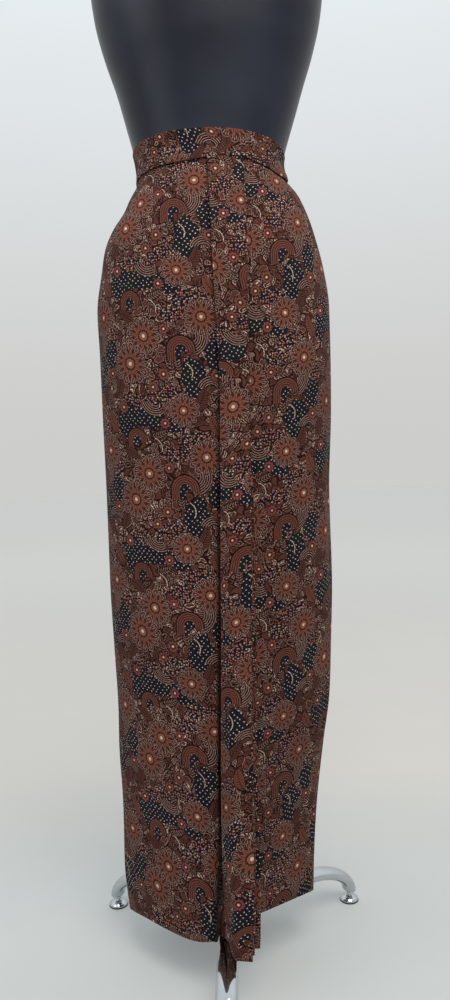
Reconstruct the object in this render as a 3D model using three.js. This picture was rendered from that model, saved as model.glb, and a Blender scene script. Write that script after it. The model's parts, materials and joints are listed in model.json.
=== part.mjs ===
// A full-length batik wrap skirt with a pleated front strip, worn on a limbless dress form
// that stands on a three-legged base.  Millimetres, +Z up, front towards -Y; left and right
// are as seen from the front.  Every piece is worked out from the axis of the pole, and the
// last group moves them all so that the origin is the bottom centre of the object's box.

import * as THREE from 'three';

// ---- driving dimensions -------------------------------------------------------------------

const seamGap = 0.3;
const clothWall = 1.5;
const bandWall = 2;
const layerPitch = clothWall + seamGap;

const waistSeamZ = 1143;
const stripColumns = 3;
const panelColumns = 10;
const lappedColumns = 2;
const backColumns = 24;

const poleRadius = 12.5;
const legReach = 222;
const legRunZ = 62.5;
const legBend = { across: 82, down: 44.5 };
const legHalfWidth = 14.7;
const legHalfHeight = 9.5;
const legSteps = 18;
const legSideSegments = 7;
const hubRadius = 24;
const hubBottomZ = 42;
const hubTopZ = 84;
const flangeRadius = 30;
const flangeThickness = 10;
const basePlateThickness = 8;
const footRadius = 15.5;
const footRimHeight = 3.5;
const footNeck = { radius: 6, z: 8.5 };
const screwRadius = 4;

// The dress form, from the top of the neck down: half its width, and how far it stands in
// front of the pole and behind it.  round is the exponent of the outline, 2 for an ellipse.
const formSections = [
  { z: 1640, halfWidth: 52, front: 50, back: 52, round: 2 },
  { z: 1610, halfWidth: 54, front: 52, back: 54, round: 2 },
  { z: 1580, halfWidth: 61, front: 55, back: 60, round: 2 },
  { z: 1560, halfWidth: 76, front: 59, back: 67, round: 2.05 },
  { z: 1543, halfWidth: 104, front: 65, back: 76, round: 2.1 },
  { z: 1524, halfWidth: 138, front: 73, back: 86, round: 2.15 },
  { z: 1500, halfWidth: 162, front: 84, back: 95, round: 2.2 },
  { z: 1465, halfWidth: 173, front: 99, back: 104, round: 2.2 },
  { z: 1405, halfWidth: 168, front: 114, back: 106, round: 2.2 },
  { z: 1362, halfWidth: 160.5, front: 117, back: 102, round: 2.2 },
  { z: 1319, halfWidth: 149, front: 113.5, back: 97, round: 2.2 },
  { z: 1276, halfWidth: 135.5, front: 107, back: 93, round: 2.2 },
  { z: 1233, halfWidth: 123.5, front: 101, back: 90, round: 2.2 },
  { z: 1194, halfWidth: 111.5, front: 96.5, back: 88, round: 2.2 },
  { z: 1183, halfWidth: 108.5, front: 95.5, back: 87.5, round: 2.2 },
  { z: 1169, halfWidth: 105.8, front: 94.7, back: 87.5, round: 2.2 },
  { z: 1157, halfWidth: 104.8, front: 94.5, back: 88, round: 2.2 },
  { z: waistSeamZ, halfWidth: 105, front: 95, back: 89, round: 2.2 },
  { z: 1125, halfWidth: 113.2, front: 98, back: 94, round: 2.2 },
  { z: 1105, halfWidth: 125, front: 101.5, back: 101, round: 2.2 },
  { z: 1085, halfWidth: 135, front: 105, back: 107, round: 2.2 },
  { z: 1068, halfWidth: 143, front: 108, back: 111, round: 2.2 },
  { z: 1045, halfWidth: 150.5, front: 111.5, back: 115, round: 2.2 },
  { z: 1010, halfWidth: 159, front: 115, back: 119, round: 2.2 },
  { z: 950, halfWidth: 166.5, front: 118, back: 121.5, round: 2.2 },
  { z: 890, halfWidth: 165, front: 116, back: 120, round: 2.2 },
  { z: 810, halfWidth: 158, front: 108, back: 112, round: 2.2 },
  { z: 786, halfWidth: 154, front: 104, back: 108, round: 2.2 },
  { z: 780, halfWidth: 149, front: 99, back: 103, round: 2.2 },
];
const formColumns = 48;
const formBottomZ = formSections.at(-1).z;
const neckTopZ = formSections[0].z;

// The inner face of the skirt, from the waist seam down: x of its left and right sides, x of
// its foremost line, and how far it stands in front of the pole and behind it.  The last three
// are the exponents of its left front, right front and back: a smaller one is more like a
// wedge, which is how the wrapped front hangs lower down.
const skirtSections = [
  section(waistSeamZ, -105.7, 105.7, 0, 95.5, 90, 2.2, 2.2, 2.2),
  section(1125, -114.5, 120.8, 0, 99, 95.8, 2.2, 2.2, 2.2),
  section(1105, -126.7, 132.2, 0, 103, 103, 2.2, 2.2, 2.2),
  section(1085, -138.5, 139.5, 0, 106.5, 109, 2.2, 2.2, 2.2),
  section(1068, -150.5, 145.5, 0, 109.5, 113, 2.2, 2.2, 2.2),
  section(1045, -156.5, 152, 0, 113, 117, 2.2, 2.2, 2.2),
  section(1010, -163.3, 160.3, 0, 116.5, 120.8, 2.2, 2.2, 2.2),
  section(950, -171.5, 167.8, 0, 119.5, 123.2, 2.2, 2.2, 2.2),
  section(890, -169.5, 166.8, 0, 119, 123, 2.2, 2.2, 2.2),
  section(800, -168.4, 164.8, -2, 117, 121, 2.1, 2.1, 2.2),
  section(680, -166.8, 160.2, -4, 114.5, 117, 1.95, 1.9, 2.15),
  section(520, -165.6, 158.9, -8, 112.5, 111, 1.75, 1.65, 2.1),
  section(370, -161, 150.9, -14, 110.8, 105, 1.5, 1.4, 2.05),
  section(310, -162.5, 142, -17, 110.3, 103, 1.42, 1.3, 2.05),
  section(220, -159.7, 129.9, -22, 109.5, 99, 1.34, 1.18, 2),
  section(130, -159.3, 122.9, -26, 108.5, 95.5, 1.28, 1.08, 2),
  section(40, -151.5, 120.4, -30, 107.5, 92, 1.22, 1, 2),
];

// Height of the hem of each panel, and of the waistband's upper edge, by turn around the pole:
// 0 at the left side, 90 at the front, 180 at the right side, 270 at the back.
const leftHem = [
  { turn: 0, z: 61 },
  { turn: 45, z: 63.5 },
  { turn: 66, z: 67 },
  { turn: 92, z: 75.5 },
  { turn: 120, z: 76 },
];
const rightHem = [
  { turn: 90, z: 87 },
  { turn: 130, z: 84 },
  { turn: 180, z: 80 },
];
const backHem = [
  { turn: 180, z: 80 },
  { turn: 195, z: 78 },
  { turn: 342, z: 75 },
  { turn: 360, z: 61 },
];
const bandTop = [
  { turn: 0, z: 1181 },
  { turn: 90, z: 1180 },
  { turn: 135, z: 1176 },
  { turn: 180, z: 1171.5 },
  { turn: 270, z: 1176 },
  { turn: 360, z: 1181 },
];

// The side seams sit a little to the front at the waist and reach the sides at the hip.
const sideSeam = { waistTurn: 22, hipZ: 1010 };

// The pleated strip that hangs down the front: x of its two edges.
const strip = [
  { z: waistSeamZ, left: -0.3, right: 48 },
  { z: 1045, left: 0, right: 48.3 },
  { z: 970, left: 3, right: 48 },
  { z: 890, left: 4.6, right: 46.5 },
  { z: 680, left: 2.7, right: 43.7 },
  { z: 520, left: -0.5, right: 40.5 },
  { z: 370, left: -4.4, right: 34.4 },
  { z: 200, left: -7.8, right: 33.5 },
  { z: 73, left: -13, right: 28 },
];

// Its layers, from the inside out.  Each follows the panel below it down to the hip.  From
// there it hangs straight, to end over the front leg with its two edges hangLeft and
// hangRight in front of the pole, so the layers fan out.
const pleats = [
  { name: 'pleat_under', topZ: 1125, hangLeft: 119, hangRight: 124.5, extraWidth: 10.4 },
  { name: 'pleat_middle', topZ: 1105, hangLeft: 128, hangRight: 141.4, extraWidth: 2 },
  { name: 'pleat_top', topZ: waistSeamZ, hangLeft: 138, hangRight: 156, extraWidth: 0 },
];
const hang = { startZ: 890, endZ: 73 };

// Beside the strip the left panel sinks in, more and more towards the hem.
const valley = { width: 10, depth: 9 };

// ---- colours and finishes -----------------------------------------------------------------

const cloth = new THREE.MeshStandardMaterial({ color: 0x4a2a22, roughness: 0.85, metalness: 0 });
const bandCloth = new THREE.MeshStandardMaterial({ color: 0x55332a, roughness: 0.85, metalness: 0 });
const formShell = new THREE.MeshStandardMaterial({ color: 0x2b2d33, roughness: 0.45, metalness: 0 });
const chrome = new THREE.MeshStandardMaterial({ color: 0xc8cbcc, roughness: 0.15, metalness: 1 });

// ---- outlines -----------------------------------------------------------------------------

function section(z, left, right, crest, front, back, leftRound, rightRound, backRound) {
  return { z, left, right, crest, front, back, leftRound, rightRound, backRound };
}

// A row between the two rows of a table that lie around a value of its first column.
function rowAt(table, key, value) {
  const rising = table[1][key] > table[0][key];
  let index = 1;
  while (index < table.length - 1 && (table[index][key] < value) === rising) {
    index += 1;
  }
  const before = table[index - 1];
  const after = table[index];
  const share = (value - before[key]) / (after[key] - before[key]);
  const row = {};
  for (const name of Object.keys(before)) {
    row[name] = THREE.MathUtils.lerp(before[name], after[name], share);
  }
  return row;
}

// The form's outline as a section of the same kind as the skirt's.
function formSection(row) {
  const { z, halfWidth, front, back, round } = row;
  return section(z, -halfWidth, halfWidth, 0, front, back, round, round, round);
}

// A point of an outline.  turn is in degrees: 0 at the left side, 90 at the front, 180 at the
// right side and 270 at the back.
function outlinePoint(outline, turn) {
  const angle = THREE.MathUtils.degToRad(turn);
  const atFront = Math.sin(angle) >= 0;
  const atLeft = Math.cos(angle) >= 0;
  const crest = atFront ? outline.crest : (outline.left + outline.right) / 2;
  const frontRound = atLeft ? outline.leftRound : outline.rightRound;
  const round = atFront ? frontRound : outline.backRound;
  const side = atLeft ? outline.left : outline.right;
  const depth = atFront ? -outline.front : outline.back;
  const across = Math.abs(Math.cos(angle)) ** (2 / round);
  const along = Math.abs(Math.sin(angle)) ** (2 / round);
  return new THREE.Vector2(crest + (side - crest) * across, depth * along);
}

// The turn at which the front of an outline has a given x.
function frontTurn(outline, x) {
  const atLeft = x < outline.crest;
  const side = atLeft ? outline.left : outline.right;
  const round = atLeft ? outline.leftRound : outline.rightRound;
  const across = ((x - outline.crest) / (side - outline.crest)) ** (round / 2);
  return THREE.MathUtils.radToDeg(Math.acos(atLeft ? across : -across));
}

// A point that stands off an outline, square to it, by a given lift.
function liftedPoint(outline, turn, lift) {
  const halfStep = 1;
  const point = outlinePoint(outline, turn);
  const before = outlinePoint(outline, turn - halfStep);
  const after = outlinePoint(outline, turn + halfStep);
  const along = after.sub(before).normalize();
  return new THREE.Vector3(point.x + along.y * lift, point.y - along.x * lift, outline.z);
}

// ---- solids -------------------------------------------------------------------------------

function solid(points, triangles) {
  const coordinates = points.flatMap((point) => [point.x, point.y, point.z]);
  const geometry = new THREE.BufferGeometry();
  geometry.setAttribute('position', new THREE.Float32BufferAttribute(coordinates, 3));
  geometry.setIndex(triangles.flat());
  geometry.computeVertexNormals();
  return geometry;
}

function quad(a, b, c, d) {
  return [[a, b, c], [a, c, d]];
}

// A wall between two grids of points.  Rows run down and columns run to the right, as seen
// from outside; a closed wall joins its last column to its first.
function wall(outside, inside, closed) {
  const rows = outside.length;
  const columns = outside[0].length;
  const outer = (row, column) => row * columns + (column % columns);
  const inner = (row, column) => rows * columns + outer(row, column);
  const spans = closed ? columns : columns - 1;
  const triangles = [];
  for (let c = 0; c < spans; c += 1) {
    for (let r = 0; r < rows - 1; r += 1) {
      triangles.push(...quad(outer(r, c), outer(r + 1, c), outer(r + 1, c + 1), outer(r, c + 1)));
      triangles.push(...quad(inner(r, c), inner(r, c + 1), inner(r + 1, c + 1), inner(r + 1, c)));
    }
    const last = rows - 1;
    triangles.push(...quad(outer(0, c), outer(0, c + 1), inner(0, c + 1), inner(0, c)));
    triangles.push(...quad(outer(last, c), inner(last, c), inner(last, c + 1), outer(last, c + 1)));
  }
  for (let r = 0; r < rows - 1 && !closed; r += 1) {
    triangles.push(...quad(inner(r, 0), inner(r + 1, 0), outer(r + 1, 0), outer(r, 0)));
    triangles.push(...quad(outer(r, spans), outer(r + 1, spans), inner(r + 1, spans), inner(r, spans)));
  }
  return solid([...outside.flat(), ...inside.flat()], triangles);
}

// A filled stack of rings, from the top down, closed by a flat lid at each end.
function stack(rings) {
  const columns = rings[0].length;
  const at = (row, column) => row * columns + (column % columns);
  const points = rings.flat();
  const lids = [rings[0], rings.at(-1)].map((ring) => centreOf(ring));
  const triangles = [];
  for (let c = 0; c < columns; c += 1) {
    for (let r = 0; r < rings.length - 1; r += 1) {
      triangles.push(...quad(at(r, c), at(r + 1, c), at(r + 1, c + 1), at(r, c + 1)));
    }
    triangles.push([points.length, at(0, c), at(0, c + 1)]);
    triangles.push([points.length + 1, at(rings.length - 1, c + 1), at(rings.length - 1, c)]);
  }
  return solid([...points, ...lids], triangles);
}

function centreOf(ring) {
  const centre = new THREE.Vector3();
  for (const point of ring) {
    centre.add(point);
  }
  return centre.divideScalar(ring.length);
}

// A ring of points around the form, square to it by a lift.
function formRing(z, lift) {
  const outline = formSection(rowAt(formSections, 'z', z));
  const ring = [];
  for (let c = 0; c < formColumns; c += 1) {
    ring.push(liftedPoint(outline, (360 * c) / formColumns, lift));
  }
  return ring;
}

// ---- cloth --------------------------------------------------------------------------------

function sideSeamTurn(z) {
  const rise = THREE.MathUtils.clamp((z - sideSeam.hipZ) / (waistSeamZ - sideSeam.hipZ), 0, 1);
  return sideSeam.waistTurn * rise ** 2;
}

// How far down the free-hanging stretch of the strip a height is, from 0 to 1.
function hangShare(z) {
  return THREE.MathUtils.clamp((hang.startZ - z) / (hang.startZ - hang.endZ), 0, 1);
}

// Turns that share out the way from one turn to another.
function spread(from, to, columns) {
  return Array.from({ length: columns + 1 }, (_, c) => THREE.MathUtils.lerp(from, to, c / columns));
}

function stripTurns(outline, columns) {
  const edges = rowAt(strip, 'z', outline.z);
  const width = edges.right - edges.left;
  return Array.from({ length: columns + 1 }, (_, c) => {
    return frontTurn(outline, edges.left + (width * c) / stripColumns);
  });
}

// The columns of each panel, as turns on one section, with the lift of each one's inner face.
function leftPanelColumns(outline) {
  const edge = rowAt(strip, 'z', outline.z).left;
  const sink = -valley.depth * hangShare(outline.z);
  const open = spread(sideSeamTurn(outline.z), frontTurn(outline, edge - valley.width), panelColumns);
  const lapped = stripTurns(outline, lappedColumns);
  return [
    ...open.map((turn) => ({ turn, lift: 0 })),
    ...lapped.map((turn) => ({ turn, lift: sink })),
  ];
}

function rightPanelColumns(outline) {
  const lapped = stripTurns(outline, stripColumns);
  const open = spread(lapped.at(-1), 180 - sideSeamTurn(outline.z), panelColumns).slice(1);
  return [
    ...lapped.map((turn) => ({ turn, lift: layerPitch })),
    ...open.map((turn, c) => ({ turn, lift: layerPitch * (1 - (c + 1) / panelColumns) })),
  ];
}

function backPanelColumns(outline) {
  const seam = sideSeamTurn(outline.z);
  return spread(180 - seam, 360 + seam, backColumns).map((turn) => ({ turn, lift: 0 }));
}

// A panel from the waist seam to its hem, a little short of the seams at its sides.
function panel(columnsOf, hem, seamedEdges) {
  const levels = skirtSections.slice(0, -1);
  const rows = levels.map((outline) => columnsOf(outline).map((column) => ({ outline, ...column })));
  const hemRow = rows.at(-1).map(({ turn }, c) => {
    const outline = rowAt(skirtSections, 'z', rowAt(hem, 'turn', turn).z);
    return { outline, ...columnsOf(outline)[c] };
  });
  rows.push(hemRow);
  const grid = (thickness) => {
    const points = rows.map((row) => row.map((p) => liftedPoint(p.outline, p.turn, p.lift + thickness)));
    points[0].forEach((point) => point.setZ(waistSeamZ - seamGap / 2));
    points.forEach((row) => seamedEdges.forEach((edge) => shorten(row, edge)));
    return points;
  };
  return wall(grid(clothWall), grid(0), false);
}

// Pulls one end of a row of points back by half the seam gap.
function shorten(row, edge) {
  const end = edge === 'start' ? row[0] : row.at(-1);
  const next = edge === 'start' ? row[1] : row.at(-2);
  end.add(next.clone().sub(end).setLength(seamGap / 2));
}

// One layer of the pleated strip.
function pleat(layer) {
  const order = pleats.indexOf(layer);
  const levels = skirtSections.filter(({ z }) => z <= layer.topZ && z > hang.endZ);
  levels.push(rowAt(skirtSections, 'z', hang.endZ));

  // A point on the panels below, with this layer's lift, a share of the way across the strip.
  const onPanels = (outline, across, thickness) => {
    const layersBelow = pleats.slice(0, order).filter((other) => other.topZ >= outline.z).length;
    const edges = rowAt(strip, 'z', outline.z);
    const width = edges.right - edges.left + layer.extraWidth * hangShare(outline.z);
    const turn = frontTurn(outline, edges.left + width * across);
    return liftedPoint(outline, turn, layerPitch * (2 + layersBelow) + thickness);
  };
  const point = (outline, across, thickness) => {
    const resting = onPanels(outline, across, thickness);
    if (outline.z < hang.startZ) {
      const start = onPanels(rowAt(skirtSections, 'z', hang.startZ), across, thickness);
      const end = -THREE.MathUtils.lerp(layer.hangLeft, layer.hangRight, across) - thickness;
      resting.y = THREE.MathUtils.lerp(start.y, end, hangShare(outline.z));
    }
    return resting;
  };
  const grid = (thickness) => {
    const points = levels.map((outline) => {
      return spread(0, 1, stripColumns).map((across) => point(outline, across, thickness));
    });
    if (layer.topZ === waistSeamZ) {
      points[0].forEach((p) => p.setZ(waistSeamZ - seamGap / 2));
    }
    return points;
  };
  return wall(grid(clothWall), grid(0), false);
}

// The waistband, a ring that grips the form above the waist seam.
function waistband() {
  const lowerLevels = [waistSeamZ + seamGap / 2, 1157, 1169];
  const grid = (lift) => {
    const lowerRings = lowerLevels.map((z) => formRing(z, lift));
    const topRing = lowerRings[0].map((_, c) => {
      return formRing(rowAt(bandTop, 'turn', (360 * c) / formColumns).z, lift)[c];
    });
    return [topRing, ...lowerRings.reverse()];
  };
  return wall(grid(seamGap + bandWall), grid(seamGap), true);
}

// ---- dress form and stand -----------------------------------------------------------------

function formTorso() {
  return stack(formSections.map((row) => formRing(row.z, 0)));
}

function neckCap() {
  const steps = [
    { rise: 12, inset: 14 },
    { rise: 9, inset: 4 },
    { rise: 4, inset: 0 },
    { rise: 0, inset: 1 },
  ];
  return stack(steps.map((step) => {
    return formRing(neckTopZ, -step.inset).map((point) => point.setZ(neckTopZ + seamGap + step.rise));
  }));
}

function basePlate() {
  const topZ = formBottomZ - seamGap;
  const inset = 4;
  const bevel = 2;
  const levels = [
    { z: topZ, inset },
    { z: topZ - basePlateThickness + bevel, inset },
    { z: topZ - basePlateThickness, inset: inset + bevel },
  ];
  return stack(levels.map((level) => {
    return formRing(formBottomZ, -level.inset).map((point) => point.setZ(level.z));
  }));
}

// A turned piece from its profile of [radius, height] pairs, which starts and ends on the axis.
function turned(profile) {
  const points = profile.map(([radius, z]) => new THREE.Vector2(radius, z));
  const segments = 24;
  return new THREE.LatheGeometry(points, segments).rotateX(Math.PI / 2);
}

function flange() {
  const topZ = formBottomZ - basePlateThickness - 2 * seamGap;
  const bevel = 2;
  return turned([
    [0, topZ - flangeThickness],
    [flangeRadius - bevel, topZ - flangeThickness],
    [flangeRadius, topZ - flangeThickness + bevel],
    [flangeRadius, topZ],
    [0, topZ],
  ]);
}

function pole() {
  const topZ = formBottomZ - basePlateThickness - flangeThickness - 3 * seamGap;
  const bottomZ = hubTopZ + seamGap;
  return turned([[0, bottomZ], [poleRadius, bottomZ], [poleRadius, topZ], [0, topZ]]);
}

function hub() {
  const bevel = 2;
  return turned([
    [0, hubBottomZ],
    [hubRadius - bevel, hubBottomZ],
    [hubRadius, hubBottomZ + bevel],
    [hubRadius, hubTopZ - bevel],
    [hubRadius - bevel, hubTopZ],
    [0, hubTopZ],
  ]);
}

// A leg of oval tube: straight out along X, then round an oval bend and down to its foot.
function leg() {
  const quarterHandle = 0.5523;
  const bendStart = new THREE.Vector3(legReach - legBend.across, 0, legRunZ);
  const bendEnd = new THREE.Vector3(legReach, 0, legRunZ - legBend.down);
  const startHandle = bendStart.clone().setX(bendStart.x + quarterHandle * legBend.across);
  const endHandle = bendEnd.clone().setZ(bendEnd.z + quarterHandle * legBend.down);
  const path = new THREE.CurvePath();
  path.add(new THREE.LineCurve3(new THREE.Vector3(hubRadius + seamGap, 0, legRunZ), bendStart));
  path.add(new THREE.CubicBezierCurve3(bendStart, startHandle, endHandle, bendEnd));
  const oval = new THREE.Shape();
  oval.absellipse(0, 0, legHalfHeight, legHalfWidth, 0, 2 * Math.PI);
  return new THREE.ExtrudeGeometry(oval, {
    steps: legSteps,
    curveSegments: legSideSegments,
    extrudePath: path,
  });
}

// A levelling foot: a domed disc with its screw, which ends under the leg.
function foot() {
  const screwTopZ = legRunZ - legBend.down - seamGap;
  const bevel = 1;
  const footShoulder = (2 * footRadius + footNeck.radius) / 3;
  return turned([
    [0, 0],
    [footRadius - bevel, 0],
    [footRadius, bevel],
    [footRadius, footRimHeight],
    [footShoulder, (footRimHeight + footNeck.z) / 2 + bevel / 2],
    [footNeck.radius, footNeck.z],
    [screwRadius, footNeck.z + bevel],
    [screwRadius, screwTopZ],
    [0, screwTopZ],
  ]);
}

// ---- the object ---------------------------------------------------------------------------

// The front foot stands a full reach in front of the pole and the other two half a reach
// behind it, so the middle of the box lies a quarter of the reach in front of the pole.
const object = new THREE.Group();
object.position.y = legReach / 4;

function add(name, geometry, material, parent = object) {
  const mesh = new THREE.Mesh(geometry, material);
  mesh.name = name;
  parent.add(mesh);
  return mesh;
}

add('waistband', waistband(), bandCloth);
add('front_left_panel', panel(leftPanelColumns, leftHem, ['start']), cloth);
add('front_right_panel', panel(rightPanelColumns, rightHem, ['end']), cloth);
add('back_panel', panel(backPanelColumns, backHem, ['start', 'end']), cloth);
for (const layer of pleats) {
  add(layer.name, pleat(layer), cloth);
}

add('form_torso', formTorso(), formShell);
add('form_neck_cap', neckCap(), formShell);
add('form_base_plate', basePlate(), formShell);
add('pole_flange', flange(), chrome);
add('pole', pole(), chrome);
add('tripod_hub', hub(), chrome);

const legs = [
  { side: 'front', heading: -92 },
  { side: 'right', heading: 30 },
  { side: 'left', heading: 150 },
];
for (const { side, heading } of legs) {
  const arm = new THREE.Group();
  arm.rotation.z = THREE.MathUtils.degToRad(heading);
  add(`leg_${side}`, leg(), chrome, arm);
  add(`foot_${side}`, foot(), chrome, arm).position.x = legReach;
  object.add(arm);
}

const model = new THREE.Group();
model.add(object);

export default model;
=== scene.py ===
"""A full-length batik wrap skirt with a pleated front strip, on a limbless dress form that
stands on a chrome tripod.

Shapes are worked out in millimetres around the axis of the pole, with z up from the floor and
the front towards -y, and set_down() puts them in the frame.  Left and right are as seen from
the front.  A turn goes round the pole: 0 at the left side, 90 at the front, 180 at the right
side and 270 at the back.
"""

import json
from functools import partialmethod
from math import cos, pi, radians, sin

import bpy
import numpy as np
from mathutils import Matrix, Vector
from numpy.linalg import norm

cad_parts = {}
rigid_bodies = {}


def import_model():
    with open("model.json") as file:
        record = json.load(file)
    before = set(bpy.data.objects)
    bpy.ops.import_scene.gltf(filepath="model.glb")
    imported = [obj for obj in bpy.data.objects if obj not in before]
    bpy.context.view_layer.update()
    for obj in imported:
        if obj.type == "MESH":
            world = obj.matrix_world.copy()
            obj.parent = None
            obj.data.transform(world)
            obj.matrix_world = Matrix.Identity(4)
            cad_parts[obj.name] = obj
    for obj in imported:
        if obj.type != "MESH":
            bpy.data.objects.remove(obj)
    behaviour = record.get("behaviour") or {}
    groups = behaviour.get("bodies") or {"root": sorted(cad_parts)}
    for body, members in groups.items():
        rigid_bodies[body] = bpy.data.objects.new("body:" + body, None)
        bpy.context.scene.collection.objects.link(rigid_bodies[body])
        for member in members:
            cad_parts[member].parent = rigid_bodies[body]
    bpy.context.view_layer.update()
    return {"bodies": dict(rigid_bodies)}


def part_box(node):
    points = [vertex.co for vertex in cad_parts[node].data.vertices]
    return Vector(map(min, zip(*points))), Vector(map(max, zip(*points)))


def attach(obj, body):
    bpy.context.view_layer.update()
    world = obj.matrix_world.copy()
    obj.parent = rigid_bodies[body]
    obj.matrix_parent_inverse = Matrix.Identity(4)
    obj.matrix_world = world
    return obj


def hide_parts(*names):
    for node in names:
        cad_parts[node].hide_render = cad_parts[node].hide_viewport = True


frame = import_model()

MM = 0.001
TURN = 2 * pi
POLE = sum(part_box("pole"), Vector()) / 2
BODY = next(iter(frame["bodies"]))

# Heights: where the band is sewn on, where the panels start under it, where the side seams
# reach the sides, where the cloth starts to hang free, and where the strip ends.
WAIST_Z = 1143
PANEL_TOP_Z = WAIST_Z + 5
HIP_Z = 1010
HANG_START_Z = 890
STRIP_END_Z = 73

# The thickness of the cloth, and how far the middle of a panel lies outside its outline.
CLOTH = 0.7
MIDDLE = 0.75


# ---- tables and curves ----

def table(names, *rows):
    """A table as one array for each named column."""
    return dict(zip(names.split(), np.array(rows, float).T))


# The skirt, from the waist seam down: its two sides, its foremost line, how far it stands in
# front of the pole and behind it, and the exponents of its outline, 2 for an ellipse.
SKIRT = table(
    "z left right crest front back left_round right_round back_round",
    (1143, -105, 104.6, 0, 95.5, 90, 2.2, 2.2, 2.2),
    (1134, -106.5, 109.6, 0, 97, 92.5, 2.2, 2.2, 2.2),
    (1125, -109, 116.2, 0, 99, 95.8, 2.2, 2.2, 2.2),
    (1105, -120, 130.5, 0, 103, 103, 2.2, 2.2, 2.2),
    (1085, -131.5, 139.5, 0, 106.5, 109, 2.2, 2.2, 2.2),
    (1068, -143.5, 145.5, 0, 109.5, 113, 2.2, 2.2, 2.2),
    (1045, -154.5, 152, 0, 113, 117, 2.2, 2.2, 2.2),
    (1010, -161.5, 160.3, 0, 116.5, 120.8, 2.2, 2.2, 2.2),
    (950, -170, 168, 0, 119.5, 123.2, 2.2, 2.2, 2.2),
    (890, -168.5, 168.2, 0, 119, 123, 2.2, 2.2, 2.2),
    (800, -168, 167, -2, 117, 121, 2.1, 2.1, 2.2),
    (680, -166.8, 162, -4, 114.5, 117, 1.95, 1.9, 2.15),
    (560, -166.8, 163.4, -7, 113, 112.5, 1.8, 1.7, 2.1),
    (460, -164.4, 159.5, -11, 111.8, 109, 1.65, 1.57, 2.1),
    (370, -162, 154.5, -14, 110.8, 105, 1.5, 1.4, 2.05),
    (310, -163, 145, -17, 110.3, 103, 1.42, 1.3, 2.05),
    (220, -160.5, 133, -22, 109.5, 99, 1.34, 1.18, 2),
    (130, -161.5, 126, -26, 108.5, 95.5, 1.28, 1.08, 2),
    (40, -154.5, 122.5, -30, 107.5, 92, 1.22, 1, 2),
)

# The dress form, from the top of its neck down: half its width, its depth in front of the pole
# and behind it, and the exponent of its outline.
FORM = table(
    "z half front back round",
    (1640, 52, 50, 52, 2),
    (1610, 54, 52, 54, 2),
    (1580, 61, 55, 60, 2),
    (1560, 76, 59, 67, 2.05),
    (1543, 104, 65, 76, 2.1),
    (1524, 138, 73, 86, 2.15),
    (1500, 162, 84, 95, 2.2),
    (1465, 173, 99, 104, 2.2),
    (1405, 168, 114, 106, 2.2),
    (1362, 162, 117, 102, 2.2),
    (1319, 151, 113.5, 97, 2.2),
    (1276, 137, 107, 93, 2.2),
    (1233, 124.8, 101, 90, 2.2),
    (1194, 113.7, 96.5, 88, 2.2),
    (1183, 110.8, 95.5, 87.5, 2.2),
    (1169, 107.6, 94.7, 87.5, 2.2),
    (1157, 105.8, 94.5, 88, 2.2),
    (1143, 104.3, 95, 89, 2.2),
    (1125, 107.5, 98, 94, 2.2),
    (1105, 118, 101.5, 101, 2.2),
    (1085, 129, 105, 107, 2.2),
    (1068, 140, 108, 111, 2.2),
    (1045, 149, 111.5, 115, 2.2),
    (1010, 159, 115, 119, 2.2),
    (950, 166.5, 118, 121.5, 2.2),
    (890, 165, 116, 120, 2.2),
    (810, 158, 108, 112, 2.2),
    (786, 154, 104, 108, 2.2),
    (780, 149, 99, 103, 2.2),
)

# Heights of the hems and of the waistband's two edges, by turn.
LEFT_HEM = table(
    "turn z", (0, 60.5), (12, 61.5), (25, 65.5), (36, 68), (55, 67.5), (66, 67), (92, 73),
    (100, 70), (112, 60), (125, 59)
)
RIGHT_HEM = table("turn z", (90, 87), (130, 84), (180, 80))
BACK_HEM = table("turn z", (180, 80), (195, 78), (342, 75), (360, 61))
BAND_TOP = table(
    "turn z", (0, 1181), (90, 1180), (135, 1176), (180, 1171.5), (270, 1176), (360, 1181)
)
BAND_BOTTOM = table(
    "turn z", (0, 1138), (20, 1137), (60, 1137), (75, 1137.5), (90, 1140), (102, 1142),
    (120, 1139), (135, 1134), (150, 1128.5), (160, 1128.5), (172, 1134), (182, 1138),
    (200, 1142), (330, 1142), (360, 1138)
)

# x of the two edges of the pleated strip.
STRIP = table(
    "z left right",
    (1143, -0.3, 48),
    (1090, 1.3, 48.2),
    (1045, 2.4, 48.3),
    (970, 4.3, 48),
    (917, 5.9, 47),
    (838, 8, 45.8),
    (759, 6.4, 44.7),
    (680, 4.2, 43.7),
    (520, 0.7, 40.5),
    (370, -3.6, 34.4),
    (276, -6.2, 34),
    (200, -6.8, 33.5),
    (130, -5.6, 31),
    (73, -5, 28),
)


def smooth_column(keys, values, at):
    """A curve through values that never overshoots them, read at some keys."""
    step = np.diff(keys)
    slope = np.diff(values) / step
    tangent = np.concatenate([slope[:1], (slope[1:] + slope[:-1]) / 2, slope[-1:]])
    turning = slope[1:] * slope[:-1] <= 0
    tangent[1:-1][turning] = 0
    limit = 3 * np.minimum(np.abs(slope[1:]), np.abs(slope[:-1]))
    tangent[1:-1] = np.clip(tangent[1:-1], -limit, limit)
    index = np.clip(np.searchsorted(keys, at, side="right") - 1, 0, len(step) - 1)
    share = np.clip((at - keys[index]) / step[index], 0, 1)
    start, end = values[index], values[index + 1]
    out, arrive = tangent[index] * step[index], tangent[index + 1] * step[index]
    rise = share * share * (3 - 2 * share)
    lead = share * (1 - share) ** 2
    trail = share * share * (share - 1)
    return start + (end - start) * rise + out * lead + arrive * trail


def smooth_rows(rows, key, at):
    """Every column of a table, read along a smooth curve at some values of its key."""
    order = np.argsort(rows[key])
    keys = rows[key][order]
    return {name: smooth_column(keys, column[order], at) for name, column in rows.items()}


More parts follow.
